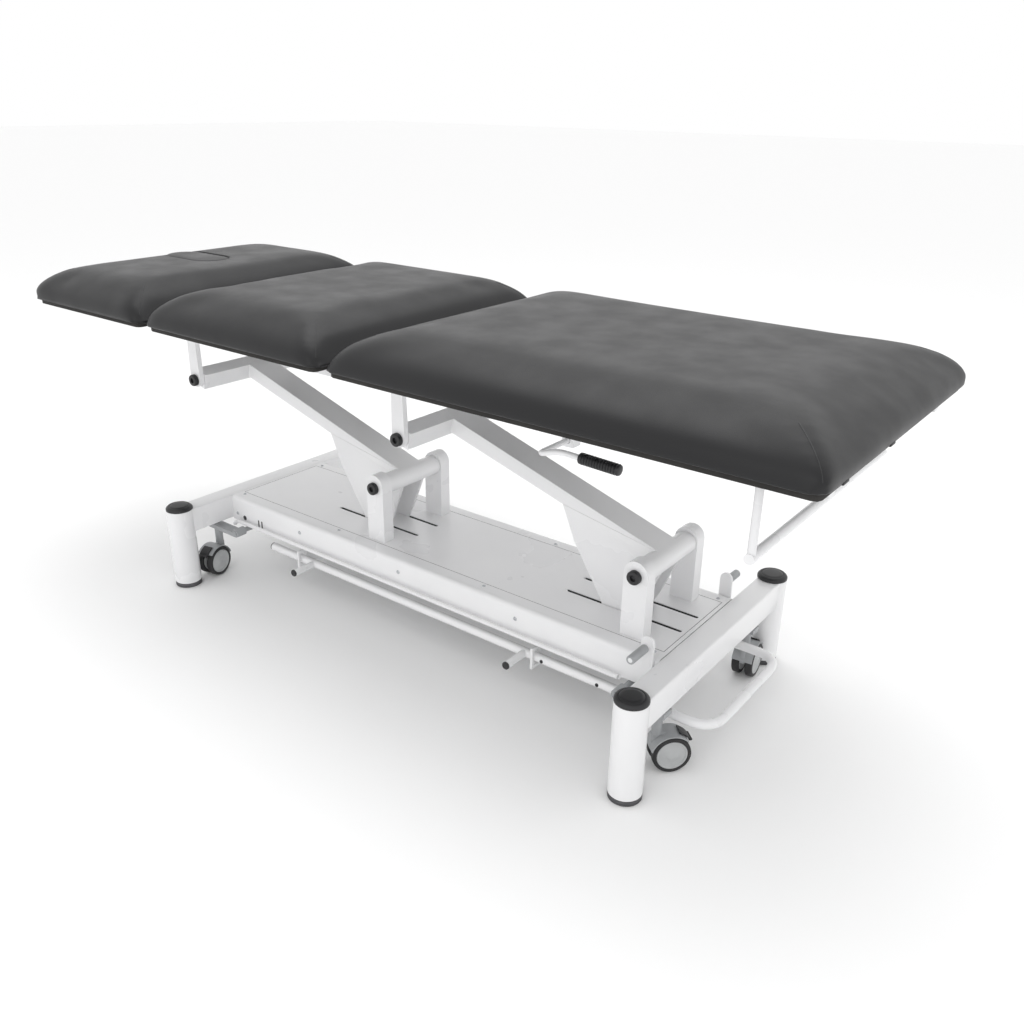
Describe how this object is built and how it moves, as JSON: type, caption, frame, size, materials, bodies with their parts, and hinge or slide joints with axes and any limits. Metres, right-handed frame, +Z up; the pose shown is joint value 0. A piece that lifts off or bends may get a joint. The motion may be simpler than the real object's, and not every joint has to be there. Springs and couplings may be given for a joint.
{
  "type": "examination couch",
  "caption": "Height-adjustable examination couch: three padded sections on a parallelogram lift with retractable castors.",
  "frame": {"origin": "on the floor, under the middle of the couch's bounding box", "axes": "+X to the foot end, -X to the head end, -Y near (left) side, +Z up"},
  "size_m": [1.95, 0.7, 0.737],
  "materials": {
    "white_paint": "smooth gloss powder coat",
    "black_vinyl": "fine-grained synthetic leather",
    "dark_board": "plywood under black lining cloth",
    "black_plastic": "satin",
    "dark_rubber": "matt",
    "grey_plastic": "satin",
    "wheel_grey": "satin disc with soft grey-black tread",
    "bright_steel": "bright",
    "black_paint": "satin"
  },
  "bodies": {
    "base": {"end_frame_head": "white_paint", "end_frame_foot": "white_paint", "base_rail_left": "white_paint", "base_rail_right": "white_paint", "base_cover": "white_paint", "lower_shaft_head": "black_plastic", "lower_shaft_foot": "black_plastic", "control_box": "grey_plastic", "mains_inlet": "black_plastic", "actuator_body": "grey_plastic", "switch_box": "black_plastic", "leg_cap_head_left": "black_plastic", "leg_cap_head_right": "black_plastic", "leg_cap_foot_left": "black_plastic", "leg_cap_foot_right": "black_plastic", "leg_foot_head_left": "dark_rubber", "leg_foot_head_right": "dark_rubber", "leg_foot_foot_left": "dark_rubber", "leg_foot_foot_right": "dark_rubber"},
    "foot_arm": {"lift_arm_foot": "white_paint"},
    "head_arm": {"lift_arm_head": "white_paint"},
    "link_bar": {"lever_link_bar": "bright_steel"},
    "actuator_rod": {"actuator_rod": "bright_steel"},
    "upper": {"upper_frame": "white_paint", "upper_shaft_head": "black_plastic", "upper_shaft_foot": "black_plastic", "seat_frame": "white_paint", "seat_board": "dark_board", "seat_cushion": "black_vinyl", "paper_roll_bow": "white_paint", "release_bracket": "white_paint", "gas_strut_cylinder": "black_paint"},
    "strut_rod": {"gas_strut_rod": "bright_steel"},
    "release_lever": {"release_lever": "white_paint", "release_grip": "black_plastic"},
    "backrest": {"backrest_frame": "white_paint", "backrest_board": "dark_board", "backrest_cushion": "black_vinyl"},
    "headrest": {"headrest_frame": "white_paint", "headrest_board": "dark_board", "headrest_cushion": "black_vinyl"},
    "plug": {"breathing_hole_plug": "black_vinyl"},
    "foot_bar": {"foot_bar": "white_paint"},
    "wheel_pedals": {"wheel_lift_pedals": "white_paint"},
    "wheel_link": {"wheel_lift_link": "white_paint"},
    "carrier_head": {"caster_carrier_head": "grey_plastic"},
    "carrier_foot": {"caster_carrier_foot": "grey_plastic"},
    "swivel_head_left": {"caster_fork_head_left": "grey_plastic"},
    "wheel_head_left": {"caster_wheel_head_left": "wheel_grey"},
    "brake_head_left": {"caster_brake_head_left": "black_plastic"},
    "swivel_head_right": {"caster_fork_head_right": "grey_plastic"},
    "wheel_head_right": {"caster_wheel_head_right": "wheel_grey"},
    "brake_head_right": {"caster_brake_head_right": "black_plastic"},
    "swivel_foot_left": {"caster_fork_foot_left": "grey_plastic"},
    "wheel_foot_left": {"caster_wheel_foot_left": "wheel_grey"},
    "brake_foot_left": {"caster_brake_foot_left": "black_plastic"},
    "swivel_foot_right": {"caster_fork_foot_right": "grey_plastic"},
    "wheel_foot_right": {"caster_wheel_foot_right": "wheel_grey"},
    "brake_foot_right": {"caster_brake_foot_right": "black_plastic"}
  },
  "joints": [
    {"name": "lift_foot", "type": "hinge", "parent": "base", "child": "foot_arm", "pos_m": [0.58, 0, 0.326], "axis": [0, 1, 0], "range_deg": [-24, 19]},
    {"name": "lift_head", "type": "hinge", "parent": "base", "child": "head_arm", "pos_m": [-0.085, 0, 0.326], "axis": [0, 1, 0], "range_deg": [-24, 19]},
    {"name": "upper_level", "type": "hinge", "parent": "foot_arm", "child": "upper", "pos_m": [0.058, 0, 0.49], "axis": [0, 1, 0], "range_deg": [-19, 24]},
    {"name": "link_bar_turn", "type": "hinge", "parent": "foot_arm", "child": "link_bar", "pos_m": [0.495, 0, 0.141], "axis": [0, 1, 0], "range_deg": [-19, 24]},
    {"name": "actuator_stroke", "type": "slide", "parent": "base", "child": "actuator_rod", "axis": [1, 0, 0], "range_m": [-0.0615, 0.0776]},
    {"name": "backrest_tilt", "type": "hinge", "parent": "upper", "child": "backrest", "pos_m": [0.026, 0, 0.65], "axis": [0, 1, 0], "range_deg": [0, 60]},
    {"name": "strut_stroke", "type": "slide", "parent": "upper", "child": "strut_rod", "axis": [-1, 0, 0], "range_m": [0, 0.0905]},
    {"name": "headrest_tilt", "type": "hinge", "parent": "backrest", "child": "headrest", "pos_m": [-0.534, 0, 0.65], "axis": [0, 1, 0], "range_deg": [-15, 40]},
    {"name": "plug_lift", "type": "slide", "parent": "headrest", "child": "plug", "axis": [0, 0, 1], "range_m": [0, 0.1]},
    {"name": "release_pull", "type": "hinge", "parent": "upper", "child": "release_lever", "pos_m": [0.47, 0, 0.583], "axis": [0, 1, 0], "range_deg": [-10, 0], "stiffness_Nm_per_rad": 0.6},
    {"name": "foot_bar_press", "type": "slide", "parent": "base", "child": "foot_bar", "axis": [0, 0, 1], "range_m": [-0.006, 0.006], "stiffness_N_per_m": 2500},
    {"name": "pedal_press", "type": "hinge", "parent": "base", "child": "wheel_pedals", "pos_m": [0.641, 0, 0.128], "axis": [0, 1, 0], "range_deg": [-40, 0]},
    {"name": "lift_link_stroke", "type": "slide", "parent": "base", "child": "wheel_link", "axis": [1, 0, 0], "range_m": [0, 0.0155]},
    {"name": "carrier_foot_turn", "type": "hinge", "parent": "base", "child": "carrier_foot", "pos_m": [0.606, 0, 0.128], "axis": [0, 1, 0], "range_deg": [0, 9.2]},
    {"name": "carrier_head_turn", "type": "hinge", "parent": "base", "child": "carrier_head", "pos_m": [-0.489, 0, 0.128], "axis": [0, 1, 0], "range_deg": [-9.2, 0]},
    {"name": "swivel_head_left", "type": "hinge", "parent": "carrier_head", "child": "swivel_head_left", "pos_m": [-0.576, -0.185, 0.0375], "axis": [0, 0, 1], "continuous": true},
    {"name": "roll_head_left", "type": "hinge", "parent": "swivel_head_left", "child": "wheel_head_left", "pos_m": [-0.57059, -0.21043, 0.0375], "axis": [0.9781, 0.2079, 0], "continuous": true},
    {"name": "brake_head_left", "type": "hinge", "parent": "swivel_head_left", "child": "brake_head_left", "pos_m": [-0.5656, -0.23391, 0.0675], "axis": [0.9781, 0.2079, 0], "range_deg": [0, 12]},
    {"name": "swivel_head_right", "type": "hinge", "parent": "carrier_head", "child": "swivel_head_right", "pos_m": [-0.576, 0.185, 0.0375], "axis": [0, 0, 1], "continuous": true},
    {"name": "roll_head_right", "type": "hinge", "parent": "swivel_head_right", "child": "wheel_head_right", "pos_m": [-0.59852, 0.198, 0.0375], "axis": [-0.5, -0.866, 0], "continuous": true},
    {"name": "brake_head_right", "type": "hinge", "parent": "swivel_head_right", "child": "brake_head_right", "pos_m": [-0.6193, 0.21, 0.0675], "axis": [-0.5, -0.866, 0], "range_deg": [0, 12]},
    {"name": "swivel_foot_left", "type": "hinge", "parent": "carrier_foot", "child": "swivel_foot_left", "pos_m": [0.687, -0.185, 0.0375], "axis": [0, 0, 1], "continuous": true},
    {"name": "roll_foot_left", "type": "hinge", "parent": "swivel_foot_left", "child": "wheel_foot_left", "pos_m": [0.70473, -0.16598, 0.0375], "axis": [-0.7314, 0.682, 0], "continuous": true},
    {"name": "brake_foot_left", "type": "hinge", "parent": "swivel_foot_left", "child": "brake_foot_left", "pos_m": [0.7211, -0.14843, 0.0675], "axis": [-0.7314, 0.682, 0], "range_deg": [0, 12]},
    {"name": "swivel_foot_right", "type": "hinge", "parent": "carrier_foot", "child": "swivel_foot_right", "pos_m": [0.687, 0.185, 0.0375], "axis": [0, 0, 1], "continuous": true},
    {"name": "roll_foot_right", "type": "hinge", "parent": "swivel_foot_right", "child": "wheel_foot_right", "pos_m": [0.68473, 0.2109, 0.0375], "axis": [-0.9962, -0.0872, 0], "continuous": true},
    {"name": "brake_foot_right", "type": "hinge", "parent": "swivel_foot_right", "child": "brake_foot_right", "pos_m": [0.68264, 0.23481, 0.0675], "axis": [-0.9962, -0.0872, 0], "range_deg": [0, 12]}
  ],
  "couplings": [
    {"joint": "lift_head", "follows": "lift_foot", "ratio": 1},
    {"joint": "upper_level", "follows": "lift_foot", "ratio": -1},
    {"joint": "link_bar_turn", "follows": "lift_foot", "ratio": -1},
    {"joint": "actuator_stroke", "follows": "lift_foot", "m_per_rad": -0.1842},
    {"joint": "strut_stroke", "follows": "backrest_tilt", "m_per_rad": 0.08594},
    {"joint": "lift_link_stroke", "follows": "pedal_press", "m_per_rad": -0.02149},
    {"joint": "carrier_foot_turn", "follows": "pedal_press", "ratio": -0.225},
    {"joint": "carrier_head_turn", "follows": "pedal_press", "ratio": 0.225}
  ]
}
